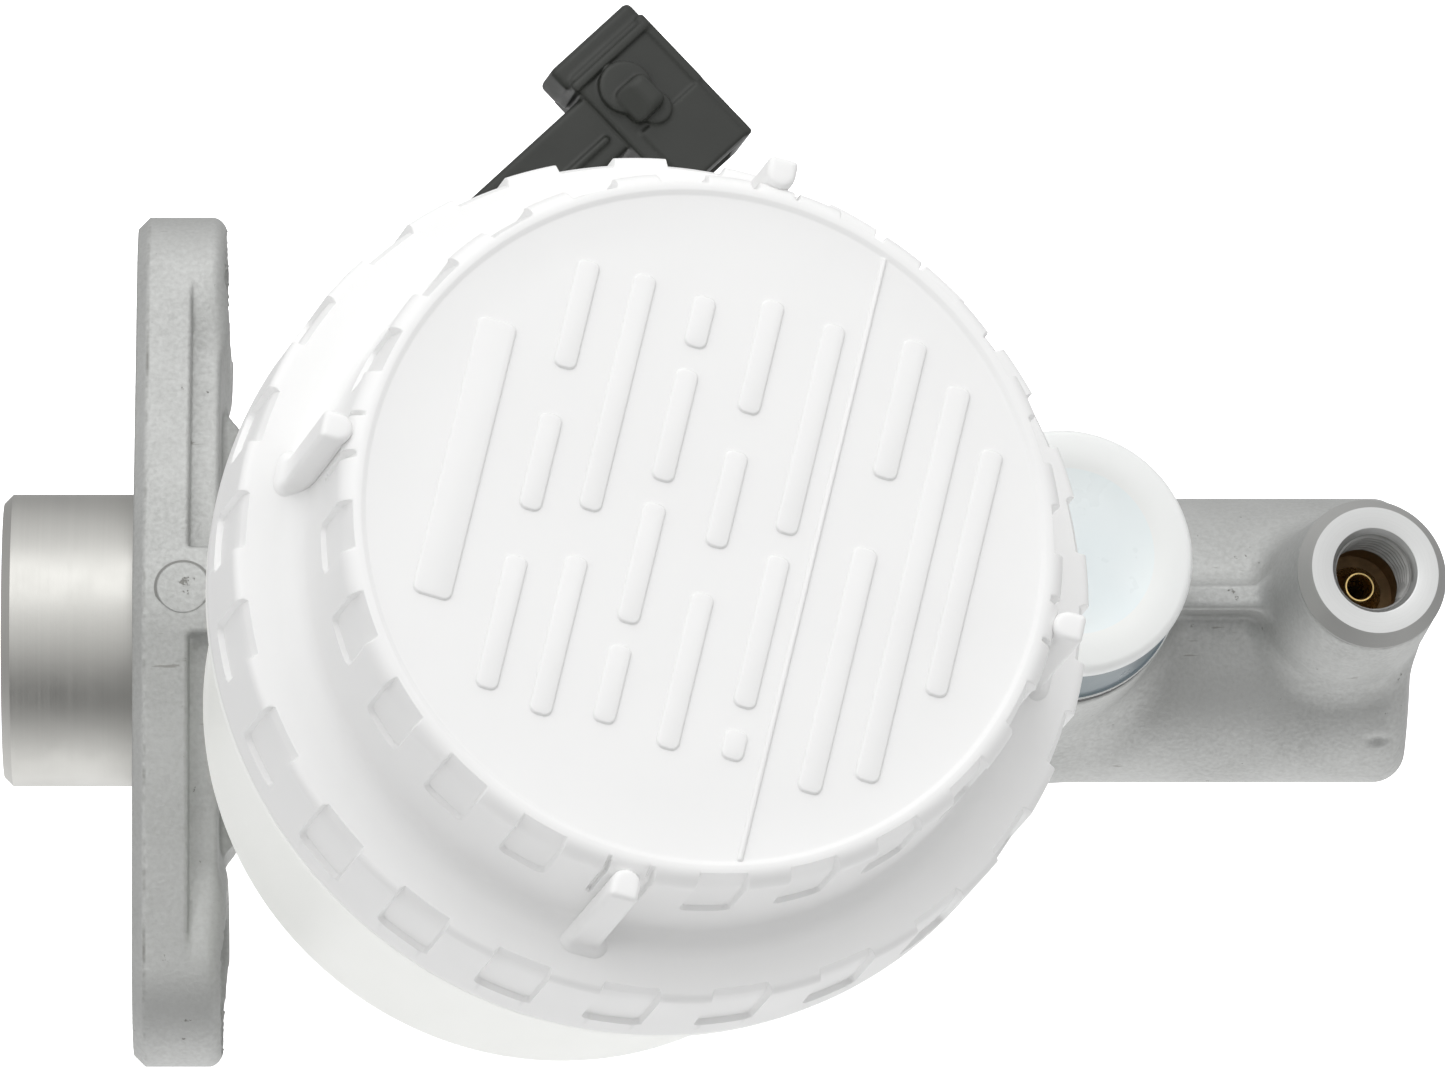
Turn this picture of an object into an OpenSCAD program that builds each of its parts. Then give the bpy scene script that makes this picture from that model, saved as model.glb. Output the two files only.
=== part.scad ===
// Tandem brake master cylinder with a round reservoir, a two-tier screw cap and a fluid level switch.
// Frame: +X runs along the bore to its closed end, +Z is up, and the origin is on the bore's axis
// at the rear face of the flange, which bolts to a brake booster. Units are millimetres.
// Heights of the reservoir's parts are measured from the bore's axis along its leaning axis.

/* [Cylinder body] */
// Bore diameter
bore_d = 22.22; // [22:0.01:22.5]
// Outer diameter of the cast barrel
barrel_d = 34.7; // [34.2:0.1:36]
// Distance from the flange to the closed front end
body_front_x = 155.8; // [155:0.1:160]
// Diameter of the machined rear spigot
spigot_d = 35.7; // [35:0.1:37]
// Length of the rear spigot
spigot_len = 16.1; // [16:0.1:18]
// Thickness of the flange
flange_t = 10.4; // [10:0.1:12]
// Distance between the two booster studs
stud_pitch = 83; // [82:0.5:84]
// Diameter of the stud holes
stud_hole_d = 9; // [8.5:0.1:9.5]
// Radius of the flange's ears
ear_r = 12; // [11.5:0.1:13]
// Half width of the flange at its middle
flange_half_w = 22.4; // [21.5:0.1:23]

/* [Outlet ports] */
// Where the front outlet's axis crosses the bore's axis
front_port_x = 143.6; // [143:0.1:144.5]
// Height of the front outlet's face
front_port_face = 32.2; // [32:0.1:34]
// Distance of the rear outlet from the flange
rear_port_x = 72; // [70:0.5:73]
// Distance of the rear outlet's face from the bore's axis
rear_port_face = 27; // [27:0.1:29]
// Radius of an outlet boss
port_boss_r = 9.3; // [9:0.1:10]
// Radius of the drilled hole for the M10 x 1 thread
port_hole_r = 4.5; // [4.5:0.05:4.6]

/* [Reservoir] */
// Forward lean of the reservoir, its feet and the front outlet, in degrees
lean = 12.7; // [12:0.1:13.5]
// Height of the two inlet bosses
seat_h = 29.3; // [29:0.1:29.5]
// Radius of the two inlet bosses
seat_r = 16.2; // [16:0.1:16.5]
// Where the rear inlet's axis, and the tank's, cross the bore's axis
tank_x = 42.6; // [42:0.1:43]
// Sideways offset of the tank
tank_y = -19.9; // [-20.5:0.1:-19.5]
// Where the front inlet's axis crosses the bore's axis
cup_x = 104.7; // [104.5:0.1:105]
// Radius of the tank at its floor
tank_low_r = 42; // [41.5:0.1:42.5]
// Radius of the tank under its collar
tank_high_r = 47; // [46.5:0.1:47.5]
// Thickness of the tank's walls
tank_wall = 2.2; // [2:0.1:2.3]
// Radius of the round cup on the front inlet
cup_r = 15.2; // [15:0.1:15.6]
// Height of the cup's top
cup_top = 39.8; // [39.5:0.1:41]

/* [Cap] */
// Radius of the cap's lower tier
cap_low_r = 51.75; // [51.6:0.05:52]
// Radius of the cap's upper tier
cap_up_r = 43.6; // [43.4:0.1:43.8]
// Height of the cap's lower edge
cap_bottom = 84.5; // [84.5:0.1:85]
// Height of the step between the two tiers
cap_step = 101; // [101:0.1:101.5]
// Height of the cap's top disc
cap_top = 122.6; // [122:0.1:124]
// Grip pockets round each tier
grip_count = 24; // [16:4:32]
// Depth of a grip pocket
grip_depth = 0.7; // [0.4:0.1:1]

/* [Pistons] */
// Radial running clearance of the pistons in the bore
piston_gap = 0.04; // [0.02:0.01:0.08]
// Radius of the return springs' wire
wire_r = 1.1; // [0.8:0.1:1.2]
// Mean radius of the return springs
spring_r = 8.2; // [8.1:0.1:8.4]

/* [Level switch] */
// Height of the switch stick's centre line
switch_h = 40; // [39:0.5:42]
// Distance of the stick's outer side from the tank's axis
switch_out = 52.3; // [52:0.1:53]

/* [Hidden] */
$fn = 96;

eps = 0.5;
bore_r = bore_d / 2;
barrel_r = barrel_d / 2;
piston_r = bore_r - piston_gap;
cup_seal_r = bore_r - 0.31;      // the rubber cups' free radius, kept off the bore
bore_end_x = 148.5;
front_corner = 5;                // corner radius of the closed end
spigot_chamfer = 1.1;
spigot_seat = 0.3;               // how far the spigot's root reaches into the flange
root_step = 0.35;                // relief turned into the root, so that a mating ring stops at the flange
flange_web_t = 6.6;              // thickness of the flange's full outline; the rest is cut back
web_half_w = 19;                 // half width of the cut-back part of the flange
land_w = 10.6;                   // width of the land at the middle of the flange's edges
spot_face_r = 10.2;              // flat cut for the nut on each ear
recess_r = 12;                   // inlet recess in each boss
recess_floor = 16;
grommet_top = 30.5;              // the tank's floor and the cup's base stand at this height
nipple_r = 8.9;
nipple_hole_r = 7;
nipple_end = 18.5;
seat_top_below = 7.7;            // tube seat's tip below the outlet's face
thread_relief = 3.5;             // depth of the outlet's floor below that tip
stop_x = 102.4;                  // stop screw's axis
pin_x = 70;                      // retaining pin's axis
pin_z = 20.2;
pin_r = 2;
collar_top = cap_bottom - 0.5;
neck_r = 48.3;
neck_top = 96;
cap_wall = 1.85;
fin_r = 46.8;                    // how far the cap's fins reach
float_x = -11.6;                 // float's place from the tank's axis
float_y = 28.2;
float_r = 8.5;
float_low = 34.4;
float_high = 46;
float_travel = 14;
post_r = 2;
stick_w = 8.4;
head_from = 54;                  // connector head's extent along the stick, and across it
head_to = 68.6;
head_out = 57.2;
head_in = 33;
head_half_h = 5;
cup_dx = (cup_x - tank_x) * cos(lean);   // the front cup seen from the tank's own frame
cup_dz = (cup_x - tank_x) * sin(lean);

// points of an arc in a profile
function arc(c, r, a0, a1, n = 8) =
    [for (i = [0:n]) let (a = a0 + (a1 - a0) * i / n) [c[0] + r * cos(a), c[1] + r * sin(a)]];

// a solid turned round the bore's axis, from points [radius, x]
module turned(points) rotate([0, 90, 0]) rotate_extrude() polygon(points);

// a cylinder round the bore's axis
module rod(r, x0, x1) translate([x0, 0, 0]) rotate([0, 90, 0]) cylinder(r = r, h = x1 - x0);

// a frame leaning with the reservoir, whose axis crosses the bore's axis level at x
module leaning(x, y = 0) translate([x, y, 0]) rotate([0, lean, 0]) children();

// a disc or tube from height a to height b
module tube(r, a, b, r_in = 0) translate([0, 0, a]) difference() {
    cylinder(r = r, h = b - a);
    if (r_in > 0) translate([0, 0, -eps]) cylinder(r = r_in, h = b - a + 2 * eps);
}

// the flange's outline: a round middle, two round ears and the tangents between them
module flange_outline(mid_r, end_r) {
    d = stud_pitch / 2;
    a = acos((mid_r - end_r) / d);
    circle(r = mid_r);
    for (s = [-1, 1]) {
        translate([s * d, 0]) circle(r = end_r);
        polygon([[s * mid_r * cos(a), mid_r * sin(a)], [s * (d + end_r * cos(a)), end_r * sin(a)],
                 [s * (d + end_r * cos(a)), -end_r * sin(a)], [s * mid_r * cos(a), -mid_r * sin(a)]]);
    }
}

// a flat shape in the flange's plane, given a thickness between two distances
module slab(x0, x1) translate([x0, 0, 0]) rotate([90, 0, 90]) linear_extrude(x1 - x0) children();

module flange() {
    slab(0, flange_web_t) flange_outline(flange_half_w, ear_r);
    slab(0, flange_t) {
        flange_outline(web_half_w, ear_r - 3.4);
        square([land_w, 2 * flange_half_w], center = true);
        for (s = [-1, 1]) translate([s * stud_pitch / 2, 0]) circle(r = ear_r);
    }
    // ribs from the ears to the barrel
    for (s = [0, 1]) mirror([0, s, 0]) translate([0, 0, -4]) linear_extrude(8)
        polygon([[5, 14], [22, 14], [22, barrel_r - 0.3], [flange_t + 0.8, 25.7],
            [flange_t + 0.4, 32], [5, 32]]);
}

// an outlet's boss, its face at the given height
module port_boss(face) rotate_extrude()
    polygon([[0, 0], [port_boss_r, 0], [port_boss_r, face - 1.7], [port_boss_r - 1.4, face], [0, face]]);

// the drilling of an outlet: mouth, thread, relief, seat bore and passage to the cylinder
module port_drilling(face) {
    tip = face - seat_top_below;
    floor_h = tip - thread_relief;
    rotate_extrude() polygon([[0, floor_h], [port_hole_r + 0.3, floor_h], [port_hole_r + 0.3, tip],
        [port_hole_r, tip], [port_hole_r, face - 0.8], [port_hole_r + 0.8, face],
        [port_hole_r + 0.8, face + 1], [0, face + 1]]);
    translate([0, 0, floor_h - 3]) cylinder(r = 2.2, h = 4);
    translate([0, 0, bore_r - 2]) cylinder(r = 1.6, h = floor_h - bore_r);
}

module on_rear_port() translate([rear_port_x, 0, 0]) rotate([-90, 0, 0]) children();

// a brass seat for a flared pipe, pressed into an outlet's floor
module tube_seat(face) {
    tip = face - seat_top_below;
    floor_h = tip - thread_relief;
    rotate_extrude() polygon([[1.1, floor_h - 3], [2.2, floor_h - 3], [2.2, floor_h],
        [3.3, floor_h], [3.3, floor_h + 0.6], [1.85, tip], [1.25, tip], [1.1, tip - 0.6]]);
}

// the casting is one piece of metal; its spigot, flange and barrel are nodes of their own
module pilot_spigot() color("silver") difference() {
    turned([[0, -spigot_len], [spigot_d / 2 - spigot_chamfer, -spigot_len],
        [spigot_d / 2, -spigot_len + spigot_chamfer], [spigot_d / 2, 0], [spigot_d / 2 - root_step, 0],
        [spigot_d / 2 - root_step, spigot_seat], [0, spigot_seat]]);
    rod(bore_r, -spigot_len - eps, spigot_seat + eps);
    rod(12.4, -13.6, -12.1);
}

module mounting_flange() color("silver") difference() {
    flange();
    rod(bore_r, -eps, flange_t + eps);
    rod(spigot_d / 2, -eps, spigot_seat);
    rod(barrel_r, flange_t, 30);
    for (s = [-1, 1]) translate([0, s * stud_pitch / 2, 0]) {
        rod(stud_hole_d / 2, -eps, flange_t + eps);
        rod(spot_face_r, flange_t - 0.45, flange_t + 2);
    }
}

module cylinder_body() color("silver") difference() {
    union() {
        rod(barrel_r, flange_t, body_front_x - front_corner);
        rod(barrel_r - front_corner, flange_t, body_front_x);
        translate([body_front_x - front_corner, 0, 0]) rotate([0, 90, 0]) rotate_extrude()
            translate([barrel_r - front_corner, 0]) circle(r = front_corner);
        leaning(tank_x) cylinder(r = seat_r, h = seat_h);
        leaning(cup_x) cylinder(r = seat_r, h = seat_h);
        leaning(front_port_x) port_boss(front_port_face);
        on_rear_port() port_boss(rear_port_face);
        translate([cup_x, -2.2, 0]) cube([front_port_x - cup_x, 3.6, 20.5]);
        translate([pin_x - 4, -4, 0]) cube([8, 8, 23.4]);
        translate([stop_x, 0, -20.5]) cylinder(r = 7, h = 12);
    }
    rod(bore_r, flange_t - eps, bore_end_x);
    for (x = [tank_x, cup_x]) leaning(x) tube(recess_r, recess_floor, seat_h + eps);
    for (x = [36.7, stop_x]) translate([x, 0, 8]) cylinder(r = 1.75, h = 12);
    for (x = [46.9, 113.5]) translate([x, 0, 8]) cylinder(r = 0.5, h = 9);
    leaning(front_port_x) port_drilling(front_port_face);
    on_rear_port() port_drilling(rear_port_face);
    translate([pin_x, 0, pin_z]) rotate([90, 0, 0]) cylinder(r = pin_r, h = 20, center = true);
    translate([stop_x, 0, -21]) cylinder(r = 3, h = 12);
}

module front_tube_seat() color("goldenrod") leaning(front_port_x) tube_seat(front_port_face);

module rear_tube_seat() color("goldenrod") on_rear_port() tube_seat(rear_port_face);

// screw under the barrel whose tip holds the secondary piston back
module stop_screw() color("gray") translate([stop_x, 0, 0]) {
    translate([0, 0, -25.5]) cylinder(r = 5.77, h = 4, $fn = 6);
    translate([0, 0, -21.6]) cylinder(r = 2.95, h = 9);
    translate([0, 0, -13]) cylinder(r = 2, h = 4.7);
}

module stop_screw_gasket() color("peru") translate([stop_x, 0, 0]) tube(6.2, -21.5, -20.5, 3.05);

module stop_washer() color("gainsboro") turned([[8.5, -12.1], [bore_r - 0.11, -12.1],
    [bore_r - 0.11, -10.75], [8.5, -10.75]]);

// a wire circlip with a gap, sprung into the groove behind the stop washer
module snap_ring() color("dimgray") difference() {
    turned([[10, -13.5], [12.3, -13.5], [12.3, -12.15], [10, -12.15]]);
    translate([-14, 0, -15]) cube([3, 3, 6], center = true);
    translate([-14, -1.5, -15]) cube([3, 3, 8]);
}

// pistons and their seals ------------------------------------------------------------------

module primary_piston() color("lightgray") difference() {
    turned([[0, -10.7], [piston_r - 0.5, -10.7], [piston_r, -10.2], [piston_r, -7.2], [8.2, -7.2],
        [8.2, -2.7], [piston_r, -2.7], [piston_r, 0], [7.6, 1.5], [7.6, 37.4], [piston_r, 38.4],
        [piston_r, 41.2], [5, 41.2], [5, 46.2], [0, 46.2]]);
    turned([[0, -11.5], [5.1, -11.5], [5.1, 5.3], [0, 8.2]]);
    rod(2.4, 33, 47);
}

// a cup seal for a piston's groove; its lip faces forward from x when way is 1
module groove_cup(x, way = 1) turned([for (p = [[8.25, 0], [10.2, 0], [cup_seal_r, 0.9],
    [cup_seal_r, 4.2], [10.1, 4.2], [9.4, 2], [8.25, 2]]) [p[0], x + way * p[1]]]);

// a cup seal for a piston's nose, its lips facing forward
module nose_cup(x) turned([for (p = [[5.1, 0], [9.4, 0], [cup_seal_r, 1.1], [cup_seal_r, 4.4],
    [9.8, 4.4], [8.6, 2.1], [6.8, 2.1], [6.3, 3.6], [5.1, 3.6]]) [p[0], x + p[1]]]);

module primary_rear_cup() color("darkslategray") groove_cup(-7.05);

module primary_front_cup() color("darkslategray") nose_cup(41.4);

module primary_spring_seat() color("gainsboro") turned([[2.6, 46.25], [9.9, 46.25], [9.9, 47.4],
    [6.4, 47.4], [6.4, 48.4], [5.4, 48.4], [5.4, 47.4], [2.6, 47.4]]);

// headed bolt that cages the primary spring inside the sleeve
module retainer_bolt() color("gray") {
    rod(2.35, 34, 65);
    rod(4.7, 64.4, 67.4);
}

module spring_sleeve() color("gainsboro") turned([[2.75, 63], [6, 63], [6, 75.8], [9.9, 75.8],
    [9.9, 76.95], [5.2, 76.95], [5.2, 64.2], [2.75, 64.2]]);

module secondary_piston() color("lightgray") difference() {
    turned([[0, 77], [piston_r, 77], [piston_r, 79.5], [8.2, 79.5], [8.2, 84], [piston_r, 84],
        [piston_r, 85.2], [7.5, 86], [7.5, 104.5], [piston_r, 104.5], [piston_r, 108], [5, 108],
        [5, 112.8], [0, 112.8]]);
    rod(5.4, 76, 82);
}

module secondary_rear_cup() color("darkslategray") groove_cup(83.85, -1);

module secondary_front_cup() color("darkslategray") nose_cup(108.2);

module secondary_spring_seat() color("gainsboro") turned([[0, 112.85], [9.9, 112.85], [9.9, 114],
    [6.4, 114], [6.4, 117], [0, 117]]);

// a helical spring round the bore's axis, its wire's centre line running from x0 to x1
module coil_spring(x0, x1, turns, steps = 18, sides = 8) {
    n = turns * steps;
    ring = [for (j = [0:sides - 1]) [wire_r * cos(360 * j / sides), wire_r * sin(360 * j / sides)]];
    points = [for (i = [0:n]) let (a = 360 * i / steps, x = x0 + (x1 - x0) * i / n)
        for (p = ring) [x + p[1], (spring_r + p[0]) * cos(a), (spring_r + p[0]) * sin(a)]];
    walls = [for (i = [0:n - 1], j = [0:sides - 1]) let (k = (j + 1) % sides)
        [i * sides + j, i * sides + k, (i + 1) * sides + k, (i + 1) * sides + j]];
    ends = [[for (j = [sides - 1:-1:0]) j], [for (j = [0:sides - 1]) n * sides + j]];
    polyhedron(points, concat(walls, ends));
}

module primary_spring() color("slategray") coil_spring(47.5 + wire_r, 75.7 - wire_r, 6);

module secondary_spring() color("slategray") coil_spring(114.1 + wire_r, bore_end_x - 0.1 - wire_r, 7);

// reservoir --------------------------------------------------------------------------------

// rubber sleeve between an inlet boss and the nipple that stands in it
module grommet() rotate_extrude() polygon([[nipple_r + 0.05, 17], [recess_r - 0.05, 17],
    [recess_r - 0.05, seat_h], [16, seat_h], [16, grommet_top], [nipple_r + 0.05, grommet_top]]);

module front_grommet() color("black") leaning(cup_x) grommet();

module rear_grommet() color("black") leaning(tank_x) grommet();

// a block beside the tank, given along the switch stick, outwards from the tank and in height
module beside(u, w, h) rotate([0, 0, 45])
    translate([u[0], w[0], h[0]]) cube([u[1] - u[0], w[1] - w[0], h[1] - h[0]]);

stick_in = switch_out - stick_w;
stick_low = switch_h - 4;
stick_high = switch_h + 4;

// the tank's round shape, filled
module tank_shape() rotate_extrude() polygon(concat([[0, grommet_top]],
    arc([tank_low_r - 4.5, grommet_top + 4.5], 4.5, -90, 0),
    [[tank_high_r, 80], [51.4, 82.4], [51.4, collar_top], [neck_r, collar_top],
     [neck_r, neck_top], [0, neck_top]]));

module tank_outside() {
    tank_shape();
    translate([0, -tank_y, 0]) tube(nipple_r, nipple_end, grommet_top + 1);
    // pocket on the wall for the level switch
    beside([13, 27], [30, switch_out + 1.6], [stick_low - 1.6, stick_high + 1.6]);
}

// the way for fluid from the tank to the front cup
module duct_hollow() translate([34, -tank_y - 5, cup_dz + 33]) cube([cup_dx - 34, 10, 4]);

module tank_inside() {
    rotate_extrude() polygon(concat([[0, grommet_top + tank_wall]],
        arc([tank_low_r - 4.5, grommet_top + 4.5], 4.5 - tank_wall, -90, 0),
        [[tank_high_r - tank_wall, 80], [46.1, 84], [46.1, neck_top + 1], [0, neck_top + 1]]));
    translate([0, -tank_y, 0]) tube(nipple_hole_r, nipple_end - 1, grommet_top + tank_wall + 1);
    beside([14.5, 28], [stick_in - 0.1, switch_out + 0.1], [stick_low - 0.1, stick_high + 0.1]);
    duct_hollow();
}

// translucent tank, one moulding with the front cup
module reservoir_tank() color("honeydew") {
    leaning(tank_x, tank_y) difference() {
        tank_outside();
        tank_inside();
    }
    // ears that straddle the body's lug and take the retaining pin
    difference() {
        for (s = [-1, 1]) translate([pin_x - 3.5, s * 5.9 - 1.5, 17.2]) cube([7, 3, 9.4]);
        translate([pin_x, 0, pin_z]) rotate([90, 0, 0]) cylinder(r = pin_r + 0.1, h = 20, center = true);
    }
}

// round cup over the front inlet, with its base lip, its nipple and the duct to the tank
module front_cup() color("honeydew") leaning(tank_x, tank_y) difference() {
    union() {
        translate([cup_dx, -tank_y, cup_dz]) {
            tube(cup_r, grommet_top, cup_top);
            tube(seat_r - 0.1, grommet_top, grommet_top + 0.9);
            tube(nipple_r, nipple_end, grommet_top + 1);
        }
        translate([34, -tank_y - 7, cup_dz + 31.5]) cube([cup_dx - 34, 14, 7]);
    }
    tank_shape();
    duct_hollow();
    translate([cup_dx, -tank_y, cup_dz]) {
        tube(cup_r - 1.8, grommet_top + 1.8, cup_top - 2.4);
        tube(nipple_hole_r, nipple_end - 1, grommet_top + 3);
        tube(10.5, cup_top - 1.2, cup_top + 1);
    }
}

module retaining_pin() color("gray") translate([pin_x, 0, pin_z]) rotate([90, 0, 0])
    difference() {
        cylinder(r = pin_r, h = 15.6, center = true);
        cylinder(r = pin_r - 0.8, h = 17, center = true);
    }

// basket that hangs in the neck and catches dirt
module strainer() color("whitesmoke") leaning(tank_x, tank_y) difference() {
    rotate_extrude() polygon([[0, 76], [38, 76], [38, neck_top], [47.9, neck_top], [47.9, 97.1],
        [36.8, 97.1], [36.8, 77.2], [0, 77.2]]);
    for (i = [0:11]) rotate([0, 0, 30 * i]) translate([30, -6, 79]) cube([12, 12, 13]);
}

// rubber top hat that follows the fluid and seals the neck
module cap_diaphragm() color("dimgray") leaning(tank_x, tank_y) rotate_extrude()
    polygon([[35.4, 97.15], [47.9, 97.15], [47.9, 98.3], [40, 98.3], [38.4, 100], [38.4, 108],
        [36.9, 110], [38.4, 112], [38.4, 118.6], [0, 118.6], [0, 117.4], [37.2, 117.4],
        [37.2, 112.5], [35.7, 110], [37.2, 107.5], [37.2, 100], [35.4, 98.4]]);

// loose ring that lets the cap turn on the diaphragm
module diaphragm_ring() color("white") leaning(tank_x, tank_y) tube(49.2, 98.35, 98.95, 42.4);

// the grip pockets of one tier, cut between two heights into a wall of radius r
module grip_pockets(r, a, b, turn) for (i = [0:grip_count - 1])
    rotate([0, 0, (i + turn) * 360 / grip_count]) rotate_extrude(angle = 180 / grip_count)
        translate([r - grip_depth, a]) square([2, b - a]);

module reservoir_cap() color("white") leaning(tank_x, tank_y) {
    difference() {
        rotate_extrude() polygon([[0, cap_top], [40.5, cap_top], [41, cap_top + 0.4],
            [42.2, cap_top + 0.4], [cap_up_r, cap_top - 1.4], [cap_up_r, cap_step + 3],
            [cap_up_r + 2.8, cap_step], [cap_low_r - 1.2, cap_step], [cap_low_r, cap_step - 1.4],
            [cap_low_r, cap_bottom], [cap_low_r - cap_wall, cap_bottom],
            [cap_low_r - cap_wall, cap_step - 2], [cap_up_r - cap_wall, cap_step - 2],
            [cap_up_r - cap_wall, cap_top - 2], [0, cap_top - 2]]);
        grip_pockets(cap_up_r, cap_top - 11.2, cap_top + 1, 0.963);
        grip_pockets(cap_low_r, cap_step - 11.5, cap_step + 1, 0.463);
    }
    // four fins that a wrench bears on
    for (a = [78:90:348]) rotate([0, 0, a]) rotate([90, 0, 0]) linear_extrude(3.7, center = true)
        polygon([[cap_up_r - 1, cap_step - 1], [fin_r, cap_step - 1], [fin_r, cap_top - 1.4],
            [fin_r - 1.4, cap_top + 0.4], [cap_up_r - 1, cap_top + 0.4]]);
}

// fluid level switch -----------------------------------------------------------------------

module on_float() leaning(tank_x, tank_y) translate([float_x, float_y, 0]) children();

// stand on the tank's floor and the post that guides the float
module float_guide() color("honeydew") on_float() {
    tube(4, grommet_top + tank_wall, float_low - 0.1);
    tube(post_r, grommet_top + tank_wall, 62.5);
}

module level_float() color("orange") on_float() difference() {
    tube(float_r, float_low, float_high, post_r + 0.4);
    tube(7.1, float_low - eps, float_low + 3.3);
}

module float_magnet() color("dimgray") on_float() tube(7.05, float_low + 0.2, float_low + 3.2, post_r + 0.6);

module float_clip() color("silver") on_float()
    tube(4.5, float_high + float_travel + 0.3, float_high + float_travel + 1.1, post_r + 0.03);

// stick that holds the reed switch, with the connector on its outer end
module level_switch() color([0.27, 0.28, 0.26]) leaning(tank_x, tank_y) difference() {
    union() {
        beside([14.6, head_from + 1], [stick_in, switch_out], [stick_low, stick_high]);
        beside([head_from, head_to], [head_in, head_out - 3],
            [switch_h - head_half_h, switch_h + head_half_h]);
        beside([head_from, head_to], [head_out - 4, head_out],
            [switch_h - head_half_h + 1, switch_h + head_half_h - 1]);
        rotate([0, 0, 45]) translate([61.2, 48.1, 0]) tube(4.4, switch_h, switch_h + head_half_h + 1);
    }
    // socket that the vehicle's plug enters
    beside([head_from + 1.6, head_to - 1.6], [head_in - 1, head_in + 12], [switch_h - 3.4, switch_h + 3.4]);
    rotate([0, 0, 45]) translate([16, stick_in + stick_w / 2, switch_h]) rotate([0, 90, 0])
        cylinder(r = 1.7, h = 18);
}

// two blades in the connector's socket
module switch_terminals() color("gold") leaning(tank_x, tank_y) for (u = [58.2, 62.8])
    beside([u, u + 1.6], [head_in + 7, head_in + 12], [switch_h - 0.4, switch_h + 0.4]);

module reed_switch() color("lightcyan") leaning(tank_x, tank_y) rotate([0, 0, 45])
    translate([17, stick_in + stick_w / 2, switch_h]) rotate([0, 90, 0]) cylinder(r = 1.4, h = 16);

cylinder_body();
mounting_flange();
pilot_spigot();
front_tube_seat();
rear_tube_seat();
stop_screw();
stop_screw_gasket();
stop_washer();
snap_ring();
primary_piston();
primary_rear_cup();
primary_front_cup();
primary_spring_seat();
primary_spring();
retainer_bolt();
spring_sleeve();
secondary_piston();
secondary_rear_cup();
secondary_front_cup();
secondary_spring_seat();
secondary_spring();
front_grommet();
rear_grommet();
reservoir_tank();
front_cup();
retaining_pin();
strainer();
cap_diaphragm();
diaphragm_ring();
reservoir_cap();
float_guide();
level_float();
float_magnet();
float_clip();
level_switch();
switch_terminals();
reed_switch();
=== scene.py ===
from math import cos, pi, radians, sin

import bmesh
import bpy
import numpy as np
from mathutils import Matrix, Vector


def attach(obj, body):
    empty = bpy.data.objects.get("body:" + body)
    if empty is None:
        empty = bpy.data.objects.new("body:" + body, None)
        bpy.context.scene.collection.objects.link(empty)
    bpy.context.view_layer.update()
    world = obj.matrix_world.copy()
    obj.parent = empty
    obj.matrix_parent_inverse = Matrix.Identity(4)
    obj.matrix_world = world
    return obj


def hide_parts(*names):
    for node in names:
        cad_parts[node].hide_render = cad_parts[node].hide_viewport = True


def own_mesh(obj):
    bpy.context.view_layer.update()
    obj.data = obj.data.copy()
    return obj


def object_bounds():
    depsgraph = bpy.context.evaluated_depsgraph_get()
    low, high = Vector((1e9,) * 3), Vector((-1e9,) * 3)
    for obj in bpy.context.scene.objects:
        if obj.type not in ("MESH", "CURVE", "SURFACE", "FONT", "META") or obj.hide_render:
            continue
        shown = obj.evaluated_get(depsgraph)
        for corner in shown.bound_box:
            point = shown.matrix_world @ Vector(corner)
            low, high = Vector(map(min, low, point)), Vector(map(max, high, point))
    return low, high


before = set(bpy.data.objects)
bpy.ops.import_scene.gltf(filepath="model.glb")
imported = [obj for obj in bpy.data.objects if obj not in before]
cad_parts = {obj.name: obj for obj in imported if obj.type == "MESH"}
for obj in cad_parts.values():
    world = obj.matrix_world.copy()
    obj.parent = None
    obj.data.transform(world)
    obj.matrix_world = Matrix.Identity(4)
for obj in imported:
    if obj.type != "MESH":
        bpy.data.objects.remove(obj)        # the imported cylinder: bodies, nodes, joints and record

cad_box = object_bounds()

# Lengths below are in millimetres; meshes are scaled to metres when they are made.
# Row frame: +X along the bore to its closed end, +Z up, origin on the bore's axis at the flange.

MM = 0.001
X = np.array([1.0, 0.0, 0.0])
Y = np.array([0.0, 1.0, 0.0])
Z = np.array([0.0, 0.0, 1.0])
LEAN = radians(12.7)                      # forward lean of the reservoir, the cup and the front outlet
UPRIGHT = np.array([sin(LEAN), 0.0, cos(LEAN)])
ACROSS = np.array([cos(LEAN), 0.0, -sin(LEAN)])

BORE_R = 11.11
BORE_END = 148.5
BARREL_R = 17.35
BARREL_END = 155.8
FLANGE_T = 10.4                           # thickness at the ears
FLANGE_R = 22.4                           # radius of the flange's round middle
EAR_R = 12.0
STUD_Y = 41.5                             # each stud's distance from the bore's axis
SPIGOT_R = 17.85
SPIGOT_LEN = 16.1
SEAT_H = 29.3                             # height of the two inlet bosses
SEAT_R = 16.2
INLET_R = 12.0                            # recess in an inlet boss, for the grommet
TANK_X, TANK_Y, CUP_X = 42.6, -19.9, 104.7
OUTLET_X, OUTLET_FACE = 143.6, 32.2
REAR_OUTLET_X, REAR_OUTLET_FACE = 72.0, 27.0
PORT_FLOOR = 11.2                         # depth of an outlet's floor below its face
PORT_R = 9.3
PIN_X, PIN_Z = 70.0, 20.2                 # the reservoir's retaining pin, which lies along Y
STOP_X = 102.4                            # the stop screw and the front feed hole
REAR_FEED_X = 36.7
CAP_PITCH = 6.0

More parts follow.
